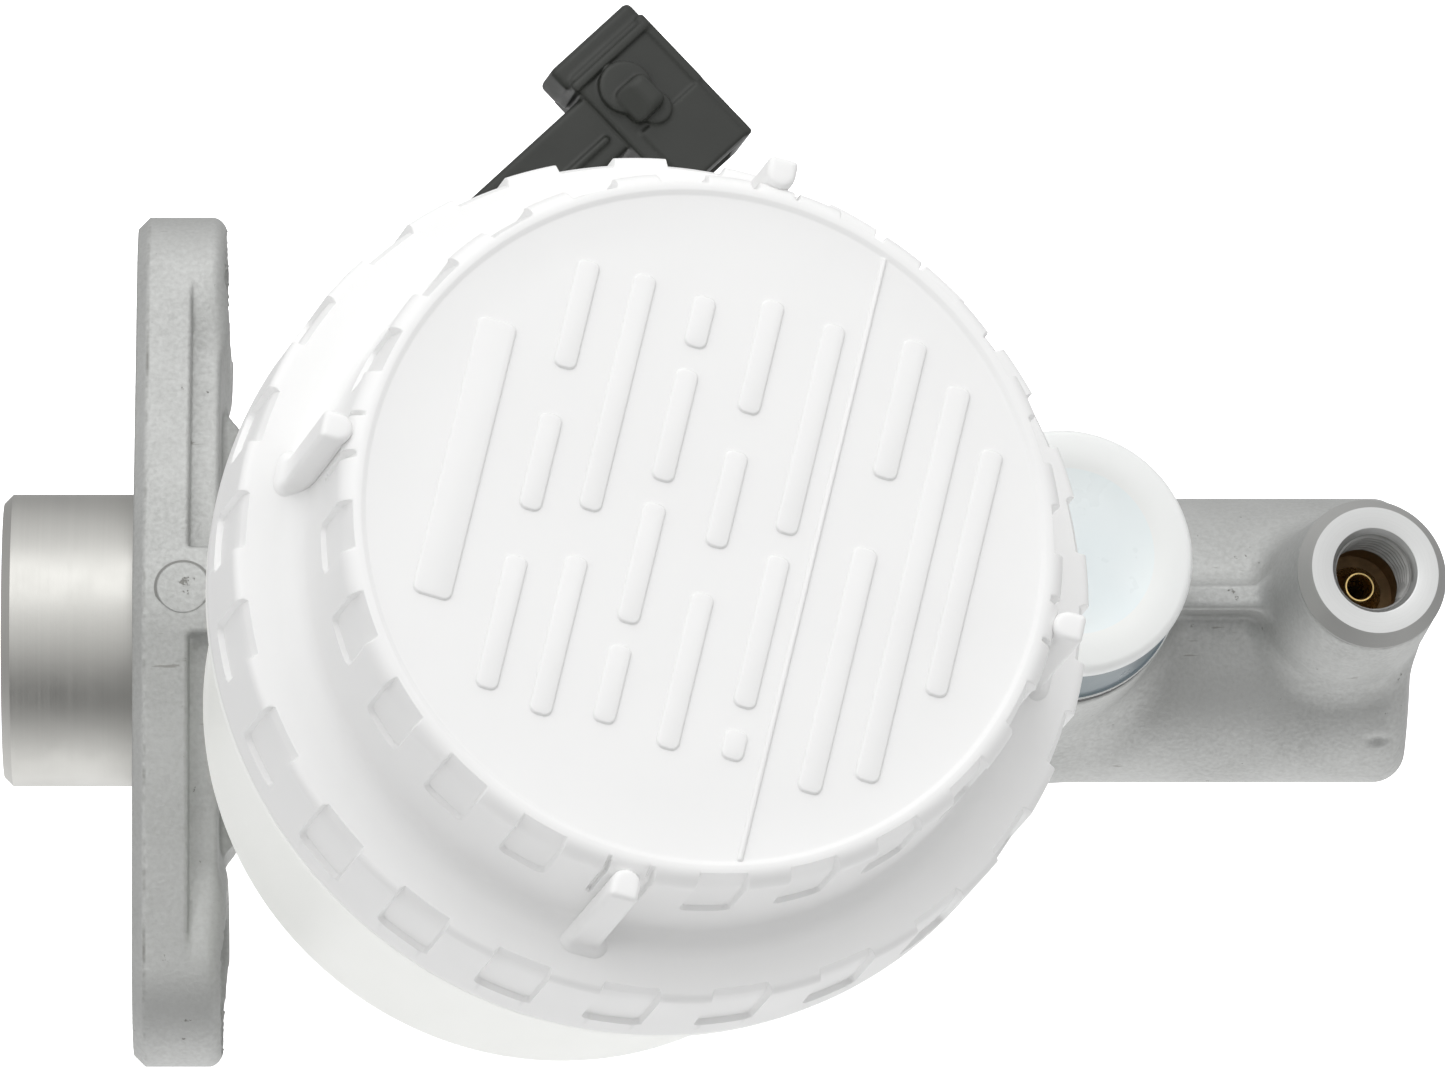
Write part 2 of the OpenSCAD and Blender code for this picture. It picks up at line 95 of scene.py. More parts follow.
# a place is an origin and three axes: points given in it come out in the row frame
BORE = (np.zeros(3), Y, Z, X)
TANK = (np.array([TANK_X, TANK_Y, 0.0]), ACROSS, Y, UPRIGHT)
CUP = (np.array([CUP_X, 0.0, 0.0]), ACROSS, Y, UPRIGHT)
OUTLET = (np.array([OUTLET_X, 0.0, 0.0]), ACROSS, Y, UPRIGHT)
REAR_OUTLET = (np.array([REAR_OUTLET_X, 0.0, 0.0]), X, -Z, Y)
ROW = (np.zeros(3), X, Y, Z)
TURN = radians(45)
STICK = (TANK[0], cos(TURN) * ACROSS + sin(TURN) * Y, cos(TURN) * Y - sin(TURN) * ACROSS, UPRIGHT)


def placed(points, place):
    """points of a place, given in the row frame"""
    origin, a, b, c = place
    p = np.asarray(points, float)
    return origin + p[:, :1] * a + p[:, 1:2] * b + p[:, 2:] * c


# meshes ---------------------------------------------------------------------------------------

def piece(name, parts, material, body, place=ROW, replaces=(), crisp=32, split=None):
    """one mesh object from (points, faces) parts; split gives a face's material index from its centre"""
    points = []
    faces = []
    start = 0
    for part_points, part_faces in parts:
        points.append(placed(part_points, place))
        faces.extend([[i + start for i in face] for face in part_faces])
        start += len(part_points)
    mesh = bpy.data.meshes.new(name)
    mesh.from_pydata((np.concatenate(points) * MM).tolist(), [], faces)
    work = bmesh.new()
    work.from_mesh(mesh)
    bmesh.ops.remove_doubles(work, verts=work.verts, dist=1e-6)
    bmesh.ops.dissolve_degenerate(work, dist=1e-7, edges=work.edges)
    bmesh.ops.recalc_face_normals(work, faces=work.faces)
    work.to_mesh(mesh)
    work.free()
    mesh.shade_smooth()
    if crisp:
        mesh.set_sharp_from_angle(angle=radians(crisp))
    materials = material if isinstance(material, (list, tuple)) else [material]
    for m in materials:
        mesh.materials.append(m)
    if split:
        for polygon in mesh.polygons:
            polygon.material_index = split(np.array(polygon.center) / MM)
    made = bpy.data.objects.new(name, mesh)
    bpy.context.scene.collection.objects.link(made)
    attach(made, body)
    if replaces:
        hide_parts(*replaces)
    return made


def sweep(rings, closed=True):
    """quads over a stack of rings of equal length; closed joins the last ring to the first"""
    rings = np.asarray(rings, float)
    count, sides = rings.shape[:2]
    i, j = np.meshgrid(np.arange(count if closed else count - 1), np.arange(sides), indexing="ij")
    k = (j + 1) % sides
    n = (i + 1) % count
    faces = np.stack([i * sides + j, i * sides + k, n * sides + k, n * sides + j], -1).reshape(-1, 4)
    return rings.reshape(-1, 3), faces.tolist()


def lathe(profile, sides=160, angles=None, offset=None):
    """a closed profile of (radius, height) turned about the place's third axis;
    offset(angle, radius, height) adds to the radius"""
    profile = np.asarray(profile, float)
    angles = np.linspace(0, 2 * pi, sides, endpoint=False) if angles is None else angles
    r, a = np.meshgrid(profile[:, 0], angles, indexing="ij")
    h = np.repeat(profile[:, 1:], len(angles), 1)
    if offset:
        r = r + offset(a, r, h)
    return sweep(np.stack([r * np.cos(a), r * np.sin(a), h], -1))


def loft(outline, levels):
    """a solid from flat outlines: levels are (height, offset), and outline(offset) gives its points"""
    rings = [[(x, y, h) for x, y in outline(grow)] for h, grow in levels]
    points, faces = sweep(rings, closed=False)
    sides = len(rings[0])
    last = len(points) - sides
    return points, faces + [list(range(sides))[::-1], [last + i for i in range(sides)]]


def rounded(x0, x1, y0, y1, corner, steps=5):
    """outline of a rounded rectangle that can grow by an offset"""
    def outline(grow):
        r = max(corner + grow, 0.02)
        made = []
        for cx, cy, start in ((x1 - corner, y1 - corner, 0), (x0 + corner, y1 - corner, 90),
                              (x0 + corner, y0 + corner, 180), (x1 - corner, y0 + corner, 270)):
            for i in range(steps + 1):
                a = radians(start + 90 * i / steps)
                made.append((cx + r * cos(a), cy + r * sin(a)))
        return made
    return outline


def arc(cx, cy, rx, ry, start, end, steps=8):
    """points of an elliptical arc in a profile, angles in degrees"""
    angles = np.radians(np.linspace(start, end, steps + 1))
    return [(cx + rx * cos(a), cy + ry * sin(a)) for a in angles]


def line(a, b, steps):
    """points from a to b in equal steps"""
    return [tuple(np.array(a) + (np.array(b) - np.array(a)) * i / steps) for i in range(steps + 1)]


# signed distances, for cast and moulded shapes with fillets -------------------------------------

def join(a, b, r):
    """union with a concave fillet of radius r"""
    u = np.maximum(r - a, 0)
    v = np.maximum(r - b, 0)
    return np.maximum(r, np.minimum(a, b)) - np.hypot(u, v)


def both(a, b, r):
    """intersection with a convex edge of radius r"""
    return -join(-a, -b, r)


def cut(a, b, r=0.0):
    """a without b, the new edge rounded by r"""
    return both(a, -b, r) if r else np.maximum(a, -b)


def box(x, y, z, low, high, r):
    """a box between two corners, its edges rounded by r"""
    q = [np.abs(v - (a + b) / 2) - (b - a) / 2 + r for v, a, b in zip((x, y, z), low, high)]
    outside = np.sqrt(sum(np.maximum(v, 0) ** 2 for v in q))
    return outside + np.minimum(np.maximum(np.maximum(q[0], q[1]), q[2]), 0) - r


def tube(x, y, z, r, low, high, edge=0.0):
    """a cylinder about the third axis"""
    return both(np.hypot(x, y) - r, np.maximum(low - z, z - high), edge)


def local(x, y, z, place):
    """coordinates of the row frame, given in a place"""
    origin, *axes = place
    d = (x - origin[0], y - origin[1], z - origin[2])
    return [sum(v * c for v, c in zip(d, axis)) for axis in axes]


def isosurface(field, low, high, step):
    """closed quad mesh of a distance field's surface: one point in each grid cell that the surface
    crosses, at the mean of its crossings, then moved onto the exact shape along the field's slope"""
    axes = [np.arange(a, b + step, step) for a, b in zip(low, high)]
    grid = field(*np.meshgrid(*axes, indexing="ij", sparse=True)).astype(np.float32)
    solid = grid < 0
    nx, ny, nz = solid.shape
    count = np.zeros((nx - 1, ny - 1, nz - 1), np.int8)
    corners = [(i, j, k) for i in (0, 1) for j in (0, 1) for k in (0, 1)]
    for i, j, k in corners:
        count += solid[i:nx - 1 + i, j:ny - 1 + j, k:nz - 1 + k]
    cells = np.argwhere((count > 0) & (count < 8))
    index = np.full(count.shape, -1)
    index[tuple(cells.T)] = np.arange(len(cells))
    value = {c: grid[tuple((cells + c).T)] for c in corners}
    total = np.zeros((len(cells), 3))
    hits = np.zeros(len(cells))
    for c in corners:
        for axis in range(3):
            if c[axis] == 0:
                d = tuple(v + (n == axis) for n, v in enumerate(c))
                crossed = (value[c] < 0) != (value[d] < 0)
                share = value[c] / np.where(crossed, value[c] - value[d], 1)
                at = np.array(c) + np.eye(3)[axis] * share[:, None]
                total += np.where(crossed[:, None], at, 0)
                hits += crossed
    points = np.array(low) + (cells + total / hits[:, None]) * step
    probe = 0.02
    for _ in range(3):
        distance = field(*points.T)
        rise = [field(*(points + probe * np.eye(3)[n]).T) - distance for n in range(3)]
        slope = np.stack(rise, -1) / probe
        normals = slope / np.maximum(np.linalg.norm(slope, axis=1), 0.3)[:, None]
        points -= np.clip(distance, -step / 2, step / 2)[:, None] * normals
    quads = []
    for axis in range(3):
        b, c = [(1, 2), (2, 0), (0, 1)][axis]
        ahead = np.moveaxis(solid, axis, 0)
        edges = np.argwhere(np.moveaxis(ahead[1:] != ahead[:-1], 0, axis))
        near = edges[(edges[:, b] > 0) & (edges[:, c] > 0)
                     & (edges[:, b] < solid.shape[b] - 1) & (edges[:, c] < solid.shape[c] - 1)]
        eb, ec = np.eye(3, dtype=int)[b], np.eye(3, dtype=int)[c]
        turns = ((1, 1), (0, 1), (0, 0), (1, 0))
        ring = np.stack([index[tuple((near - s * eb - t * ec).T)] for s, t in turns], 1)
        flip = ~solid[tuple(near.T)]
        ring[flip] = ring[flip][:, ::-1]
        quads.append(ring)
    return points, np.concatenate(quads).tolist()


# materials --------------------------------------------------------------------------------------

class Finish:
    """a procedural material: a Principled shader and the nodes that feed it"""

    def __init__(self, name, **values):
        self.material = bpy.data.materials.new(name)
        self.material.use_nodes = True
        self.tree = self.material.node_tree
        self.shader = self.tree.nodes["Principled BSDF"]
        self.place = self.add("ShaderNodeTexCoord").outputs["Object"]
        self.height = None
        for key, value in values.items():
            self.shader.inputs[key.replace("_", " ")].default_value = value

    def add(self, kind, links=None, values=None, **settings):
        node = self.tree.nodes.new(kind)
        for key, value in settings.items():
            setattr(node, key, value)
        for key, value in (values or {}).items():
            node.inputs[key].default_value = value
        for key, socket in (links or {}).items():
            self.tree.links.new(socket, node.inputs[key])
        return node

    def stretched(self, scale):
        """object coordinates scaled by axis, for lines and streaks"""
        return self.add("ShaderNodeMapping", {"Vector": self.place}, {"Scale": scale}).outputs["Vector"]

    def noise(self, size, detail=2.0, rough=0.5, vector=None):
        """noise whose features are about size millimetres across"""
        links = {"Vector": vector or self.place}
        values = {"Scale": 1 / (size * MM), "Detail": detail, "Roughness": rough}
        return self.add("ShaderNodeTexNoise", links, values).outputs["Fac"]

    def cells(self, size):
        """distance to the nearest of many points about size millimetres apart"""
        values = {"Scale": 1 / (size * MM)}
        return self.add("ShaderNodeTexVoronoi", {"Vector": self.place}, values).outputs["Distance"]

    def ramp(self, value, low, high, a=0.0, b=1.0):
        """value between low and high stretched to a..b"""
        values = {"From Min": low, "From Max": high, "To Min": a, "To Max": b}
        return self.add("ShaderNodeMapRange", {"Value": value}, values).outputs["Result"]

    def math(self, operation, a, b=None):
        node = self.add("ShaderNodeMath", operation=operation)
        for n, value in enumerate((a, b)):
            if isinstance(value, (int, float)):
                node.inputs[n].default_value = value
            elif value is not None:
                self.tree.links.new(value, node.inputs[n])
        return node.outputs[0]

    def blend(self, factor, a, b):
        """colour a where factor is 0 and b where it is 1"""
        node = self.add("ShaderNodeMix", data_type="RGBA")
        for n, value in ((6, a), (7, b)):
            if isinstance(value, tuple):
                node.inputs[n].default_value = (*value, 1)
            else:
                self.tree.links.new(value, node.inputs[n])
        self.tree.links.new(factor, node.inputs[0])
        return node.outputs[2]

    def feed(self, socket, value):
        self.tree.links.new(value, self.shader.inputs[socket])

    def bump(self, value, depth, strength=1.0):
        """surface relief of the given depth in millimetres; later calls lie on top"""
        links = {"Height": value}
        if self.height:
            links["Normal"] = self.height
        values = {"Distance": depth * MM, "Strength": strength}
        self.height = self.add("ShaderNodeBump", links, values).outputs["Normal"]
        self.feed("Normal", self.height)


def cast_metal(name):
    """sand-grey die casting with fine grain, dark specks and streaks"""
    f = Finish(name, Metallic=0.6)
    fine = f.noise(0.55, 3)
    broad = f.noise(14, 2)
    tone = f.blend(f.ramp(broad, 0.35, 0.65), (0.45, 0.455, 0.445), (0.52, 0.525, 0.515))
    tone = f.blend(f.ramp(fine, 0.3, 0.7, 0, 0.35), tone, (0.60, 0.61, 0.60))
    specks = f.ramp(f.noise(2.6, 4, 0.7), 0.685, 0.72)
    tone = f.blend(f.math("MULTIPLY", specks, 0.75), tone, (0.16, 0.155, 0.14))
    streak = f.noise(1, 3, 0.6, f.stretched((0.12, 0.9, 0.5)))
    tone = f.blend(f.ramp(streak, 0.70, 0.73, 0, 0.6), tone, (0.24, 0.23, 0.21))
    # the die's parting line runs round the flange just ahead of its rear chamfer
    parting_x = 1.5
    depth = f.add("ShaderNodeSeparateXYZ", {"Vector": f.place}).outputs["X"]
    off = f.math("ABSOLUTE", f.math("SUBTRACT", depth, parting_x * MM))
    broken = f.ramp(f.noise(7, 4, 0.75), 0.46, 0.66)
    seam = f.math("MULTIPLY", f.ramp(off, 0.06 * MM, 0.3 * MM, 1, 0), broken)
    tone = f.blend(f.math("MULTIPLY", seam, 0.55), tone, (0.13, 0.125, 0.11))
    f.feed("Base Color", tone)
    f.feed("Roughness", f.ramp(fine, 0.3, 0.7, 0.62, 0.5))
    f.bump(broad, 0.25, 0.4)
    f.bump(fine, 0.07, 0.6)
    f.bump(f.cells(0.7), 0.06, 0.35)
    f.bump(specks, -0.08, 0.5)
    return f.material


def machined_metal(name, base, rough, place, ring=0.22, metallic=1.0):
    """turned metal with fine tool marks round the third axis of a place"""
    f = Finish(name, Metallic=metallic)
    origin = (place[0] * MM).tolist()
    moved = f.add("ShaderNodeVectorMath", {0: f.place}, {1: origin}, operation="SUBTRACT").outputs[0]

    def measured(axis):
        values = {1: axis.tolist()}
        return f.add("ShaderNodeVectorMath", {0: moved}, values, operation="DOT_PRODUCT").outputs["Value"]

    side, rise, along = [measured(axis) for axis in place[1:]]
    radius = f.math("SQRT", f.math("ADD", f.math("POWER", side, 2.0), f.math("POWER", rise, 2.0)))
    turned = f.add("ShaderNodeCombineXYZ", {0: along, 1: radius}).outputs[0]
    marks = f.noise(ring, 2, 0.6, turned)
    wear = f.noise(9, 3, 0.6)
    dark = tuple(v * 0.965 for v in base)
    f.feed("Base Color", f.blend(f.ramp(marks, 0.35, 0.65), dark, base))
    f.feed("Roughness", f.math("ADD", f.ramp(wear, 0.3, 0.7, rough - 0.04, rough + 0.06),
                               f.ramp(marks, 0.3, 0.7, -0.03, 0.03)))
    f.bump(marks, 0.008, 0.4)
    f.bump(f.noise(0.25, 3), 0.01, 0.3)
    return f.material


def moulded(name, base, shade, rough, grain=0.35, depth=0.02, **values):
    """moulded plastic or rubber: slight unevenness of colour, gloss and surface"""
    f = Finish(name, **values)
    f.shader.inputs["Subsurface Radius"].default_value = (1.0, 1.0, 1.0)
    broad = f.noise(18, 2)
    fine = f.noise(grain, 3)
    f.feed("Base Color", f.blend(f.ramp(broad, 0.3, 0.7), base, shade))
    f.feed("Roughness", f.ramp(f.noise(5, 3, 0.6), 0.3, 0.7, rough - 0.05, rough + 0.07))
    f.bump(f.noise(7, 2), 0.12, 0.25)
    f.bump(fine, depth, 0.5)
    return f.material


def plated(name, base, rough, size=1.2, metallic=1.0):
    """plated, drawn or stamped metal with faint blotches and scratches"""
    f = Finish(name, Metallic=metallic)
    blotch = f.noise(size * 3, 3, 0.6)
    scratch = f.noise(0.3, 3, 0.6, f.stretched((0.15, 1.0, 1.0)))
    dark = tuple(v * 0.7 for v in base)
    f.feed("Base Color", f.blend(f.ramp(blotch, 0.3, 0.7), dark, base))
    f.feed("Roughness", f.ramp(blotch, 0.3, 0.7, rough + 0.1, rough - 0.03))
    f.bump(scratch, 0.015, 0.5)
    return f.material


cast = cast_metal("cast_aluminium")
# painted shade: the dark finish of the flat ring round the ejector mark stands for the shadow in a groove
groove_shade_paint = moulded("groove_shade_paint", (0.20, 0.20, 0.19), (0.30, 0.30, 0.29), 0.7, 0.5, 0.04)
spigot_metal = machined_metal("machined_spigot", (0.555, 0.55, 0.525), 0.41, BORE, 0.30)
outlet_metal = machined_metal("machined_outlet", (0.65, 0.655, 0.65), 0.35, OUTLET, 0.22, 0.85)
outlet_chamfer = machined_metal("outlet_chamfer", (0.42, 0.42, 0.41), 0.5, OUTLET, 0.35, 0.6)
rear_outlet_metal = machined_metal("machined_rear_outlet", (0.65, 0.655, 0.65), 0.35, REAR_OUTLET, 0.22, 0.85)
outlet_floor = plated("drilled_floor", (0.30, 0.19, 0.09), 0.5, 0.6, 0.6)
brass = plated("tube_brass", (0.85, 0.62, 0.26), 0.25, 0.5)
zinc = plated("zinc_steel", (0.62, 0.63, 0.64), 0.32)
copper = plated("copper_gasket", (0.72, 0.40, 0.26), 0.38)
spring_wire = plated("spring_steel", (0.34, 0.35, 0.37), 0.35, 0.8)
piston_metal = machined_metal("piston_alloy", (0.74, 0.74, 0.73), 0.3, BORE, 0.28)
rubber = moulded("seal_rubber", (0.030, 0.031, 0.032), (0.045, 0.046, 0.046), 0.58, 0.3, 0.03)
# a faint emission stands for the light that passes through the thin walls of the tank and the cup
tank_plastic = moulded("tank_plastic", (0.96, 0.97, 0.935), (0.94, 0.96, 0.915), 0.36, 0.5, 0.012,
                       Emission_Color=(1.0, 1.0, 0.97, 1.0), Emission_Strength=0.115,
                       Transmission_Weight=0.05, IOR=1.45, Subsurface_Weight=0.4, Subsurface_Scale=0.006)
cup_plastic = moulded("cup_plastic", (0.94, 0.955, 0.94), (0.92, 0.94, 0.93), 0.34, 0.5, 0.012,
                      IOR=1.45, Subsurface_Weight=0.4, Subsurface_Scale=0.004)
cup_dish = moulded("cup_dish", (0.83, 0.90, 0.92), (0.89, 0.93, 0.93), 0.3, 0.5, 0.012,
                   Emission_Color=(0.9, 0.97, 1.0, 1.0), Emission_Strength=0.04,
                   IOR=1.45, Subsurface_Weight=0.3, Subsurface_Scale=0.004)
# painted shade: the cup's wall is the same plastic, darkened where one sees through it into the shade inside
cup_wall_painted_shade = moulded("cup_wall_painted_shade", (0.20, 0.25, 0.28), (0.25, 0.30, 0.32), 0.3, 0.5, 0.012, IOR=1.45)
cap_plastic = moulded("cap_plastic", (0.945, 0.945, 0.94), (0.925, 0.925, 0.92), 0.44, 0.4, 0.012,
                      Subsurface_Weight=0.15, Subsurface_Scale=0.002)
mesh_plastic = moulded("strainer_plastic", (0.80, 0.82, 0.80), (0.74, 0.77, 0.74), 0.45, 0.8, 0.05)
foam = moulded("float_foam", (0.80, 0.42, 0.10), (0.72, 0.35, 0.08), 0.7, 0.9, 0.12)
magnet = moulded("magnet", (0.05, 0.05, 0.055), (0.08, 0.08, 0.085), 0.45, 0.4, 0.04)
switch_plastic = moulded("switch_plastic", (0.022, 0.024, 0.021), (0.030, 0.032, 0.028), 0.42, 0.3, 0.02,
                         Specular_IOR_Level=0.42)
terminal = plated("terminal_brass", (0.83, 0.66, 0.33), 0.28, 0.6)
glass = moulded("reed_glass", (0.80, 0.90, 0.86), (0.76, 0.88, 0.84), 0.1, 0.6, 0.004,
                Transmission_Weight=0.85, IOR=1.5)

# nodes shown with their CAD meshes
KEPT = {
    zinc: ["stop_screw", "stop_washer", "primary_spring_seat", "retainer_bolt", "spring_sleeve",
           "secondary_spring_seat", "retaining_pin", "float_clip"],
    copper: ["stop_screw_gasket"],
    spring_wire: ["snap_ring"],
    piston_metal: ["primary_piston", "secondary_piston"],
    rubber: ["primary_rear_cup", "primary_front_cup", "secondary_rear_cup", "secondary_front_cup",
             "front_grommet", "rear_grommet", "cap_diaphragm"],
    cap_plastic: ["diaphragm_ring"],
    tank_plastic: ["float_guide"],
    mesh_plastic: ["strainer"],
    foam: ["level_float"],
    magnet: ["float_magnet"],
    terminal: ["switch_terminals"],
    glass: ["reed_switch"],
}
for kept_material, names in KEPT.items():
    for kept_name in names:
        kept_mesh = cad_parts[kept_name].data
        kept_mesh.materials.clear()
        kept_mesh.materials.append(kept_material)


# the casting ------------------------------------------------------------------------------------

def grid_step(fine):
    return fine


def flange_outline(y, z):
    """distance to the flange's outline: a round middle, two ears and their tangents"""
    a = np.abs(y)
    lean = (FLANGE_R - EAR_R) / STUD_Y
    slope = np.sqrt(1 - lean * lean)
    across = np.abs(z)
    k = -lean * across + slope * a
    middle = np.hypot(across, a) - FLANGE_R
    ear = np.hypot(across, a - STUD_Y) - EAR_R
    flank = slope * across + lean * a - FLANGE_R
    return np.where(k < 0, middle, np.where(k > slope * STUD_Y, ear, flank))


def outlet_boss(p, face):
    """a round boss that widens downwards, up to its machined face"""
    x, y, h = p
    slope, length = 0.085, 16
    draft = slope * np.clip(face - 2 - h, 0, length)
    return np.maximum(np.hypot(x, y) - PORT_R - draft, np.maximum(h - face + 1.9, -h))


def flange(x, y, z):
    """plate with a chamfered rear edge, raised ears, a land across its middle, ribs and gussets"""
    plate, chamfer, setback = 6.86, 1.42, 3.0
    land_y, land_half = 0.4, 5.4
    outline = flange_outline(y, z) + 0 * x
    rear_edge = (outline - x + chamfer) * 0.7071
    back = np.maximum(np.maximum(outline, rear_edge), np.maximum(-x, x - plate))
    raised = np.maximum(x - FLANGE_T, 2 - x)
    inset = both(outline + setback, raised, 0.7)
    ears = both(np.hypot(np.abs(y) - STUD_Y, z) - EAR_R, raised, 1.4)
    land = both(np.maximum(outline, np.abs(y - land_y) - land_half), raised, 0.8)
    front = np.maximum(join(join(inset, ears, 3.5), land, 1.2), outline)
    # a low rib along the ears, and a gusset on each side that slopes from the barrel to it
    rib = np.maximum(np.maximum(x - FLANGE_T - 0.6, 5 - x), np.maximum(np.abs(z) - 1.1, np.abs(y) - 36.5))
    gusset = np.maximum(0.792 * (x - 11.0) + 0.611 * (np.abs(y) - 28.0), np.abs(z) - 3.0)
    gusset = np.maximum(gusset, np.maximum(5 - x, np.abs(y) - 34))
    body = np.minimum(np.minimum(back, front), rib)
    return join(body, gusset, 0.8)


def casting(x, y, z):
    """the whole casting: flange, barrel, inlet and outlet bosses, web and lug, then its holes"""
    seat_tank = local(x, y, z, (np.array([TANK_X, 0.0, 0.0]), ACROSS, Y, UPRIGHT))
    seat_cup = local(x, y, z, CUP)
    port = local(x, y, z, OUTLET)
    rear_port = local(x, y, z, REAR_OUTLET)
    radius = np.hypot(y, z)
    barrel = both(radius - BARREL_R, np.maximum(x - BARREL_END + 0.004 * radius ** 2, 5 - x), 3.4)
    made = join(flange(x, y, z), barrel, 2.6)
    for seat in (seat_tank, seat_cup):
        flare = 0.035 * np.clip(SEAT_H - seat[2], 0, 14)
        boss = both(np.hypot(seat[0], seat[1]) - SEAT_R - flare, np.maximum(seat[2] - SEAT_H, -seat[2]), 0.5)
        made = join(made, boss, 4.0)
    # a web between the cup's boss and the outlet's, its root sharp on one side and round on the other
    web = box(x, y, z, (CUP_X, -2.0, 0), (OUTLET_X, 1.2, 21.4), 0.4)
    made = join(made, web, np.where(y < -0.4, 0.7, 2.6))
    made = join(made, outlet_boss(port, OUTLET_FACE), 2.0)
    made = join(made, outlet_boss(rear_port, REAR_OUTLET_FACE), 3.2)
    pin_lug = box(x, y, z, (PIN_X - 4, -4, 0), (PIN_X + 4, 4, 23.4), 1.0)
    stop_boss = tube(x - STOP_X, y, z, 7.0, -20.5, -8)
    made = join(join(made, pin_lug, 2.5), stop_boss, 2.0)
    # a small cast dent near the closed end
    dent = np.sqrt(((x - 151.6) / 2.6) ** 2 + ((y + 15.1) / 1.6) ** 2 + ((z - 8.6) / 2.0) ** 2)
    made = cut(made, (dent - 1) * 1.4 + 0.9, 0.5)
    # bore, recesses and holes
    made = cut(made, np.maximum(radius - BORE_R, x - BORE_END))
    for seat in (seat_tank, seat_cup):
        made = cut(made, tube(*seat, INLET_R, 16.0, 40.0))
    for feed_x in (REAR_FEED_X, STOP_X):
        made = cut(made, tube(x - feed_x, y, z, 1.75, 8.0, 20.0))
    # each outlet: room for its threaded mouth, the seat's hole and the drilling into the bore
    for p, face in ((port, OUTLET_FACE), (rear_port, REAR_OUTLET_FACE)):
        made = cut(made, tube(*p, 5.7, face - PORT_FLOOR - 0.5, 50.0))
        made = cut(made, tube(*p, 2.2, face - PORT_FLOOR - 3.0, 50.0))
        made = cut(made, tube(*p, 1.6, BORE_R - 2.0, 50.0))
    made = cut(made, tube(x - STOP_X, y, z, 3.0, -21.0, -9.0))
    made = cut(made, tube(x - PIN_X, z - PIN_Z, y, 2.0, -10.0, 10.0))
    # stud holes and the shallow spot faces round them
    hole_r, spot_r, spot_depth = 4.5, 10.2, 0.45
    stud = np.hypot(np.abs(y) - STUD_Y, z)
    made = cut(made, stud - hole_r + 0 * x)
    return cut(made, np.maximum(stud - spot_r, FLANGE_T - spot_depth - x))


def make_casting():
    """barrel and flange as two meshes; where they overlap, each one sinks below the other's surface"""
    seam, overlap, sink = 16.0, 2.0, 0.06

    def front_part(x, y, z):
        sunk = casting(x, y, z) + sink * np.clip((seam - x) / overlap, 0, 1)
        return np.maximum(sunk, seam - overlap - x)

    def rear_part(x, y, z):
        sunk = casting(x, y, z) + sink * np.clip((x - seam) / overlap, 0, 1)
        return np.maximum(sunk, x - seam - overlap)

    body = isosurface(front_part, (12.5, -30.5, -24.5), (162.5, 30.5, 37.5), grid_step(0.68))
    piece("cylinder_casting", [body], cast, "body_and_tank",
          replaces=("cylinder_body",), crisp=None)
    ears = isosurface(rear_part, (-1.2, -55.2, -24.2), (20, 55.2, 31), grid_step(0.45))
    piece("flange_casting", [ears], cast, "body_and_tank",
          replaces=("mounting_flange",), crisp=None)
    # a round ejector mark and a flat dark ring round it, painted shade where a groove round the mark would
    # be, both bent to follow the flange's land
    for name, profile, material in (
            ("ejector_mark", [(0, -0.8), (3.2, -0.8), (3.2, 0.1), (3.08, 0.2), (0, 0.2)], cast),
            ("ejector_groove_shade", [(3.15, -0.8), (3.52, -0.8), (3.52, 0.015), (3.15, 0.04)], groove_shade_paint)):
        points, faces = lathe(profile, 96)
        points[:, 2] += np.sqrt(FLANGE_R ** 2 - points[:, 1] ** 2)
        piece(name, [(points, faces)], material, "body_and_tank",
              (np.array([6.2, 0.4, 0.0]), X, Y, Z))


def make_spigot():
    """the turned spigot with its chamfered end and the snap ring's groove inside"""
    r = SPIGOT_R
    end = -SPIGOT_LEN
    outer = [(BORE_R + 0.5, end), (r - 1.1, end), (r, end + 1.1)]
    outer += line((r, end + 2), (r, 0.3), 10)
    ring_r, ring_low, ring_high = 12.4, -13.6, -12.1
    inner = [(BORE_R, 0.3), (BORE_R, ring_high), (ring_r, ring_high), (ring_r, ring_low),
             (BORE_R, ring_low), (BORE_R, end + 0.5)]
    piece("machined_spigot", [lathe(outer + inner, 192)], spigot_metal, "body_and_tank",
          BORE, ("pilot_spigot",))


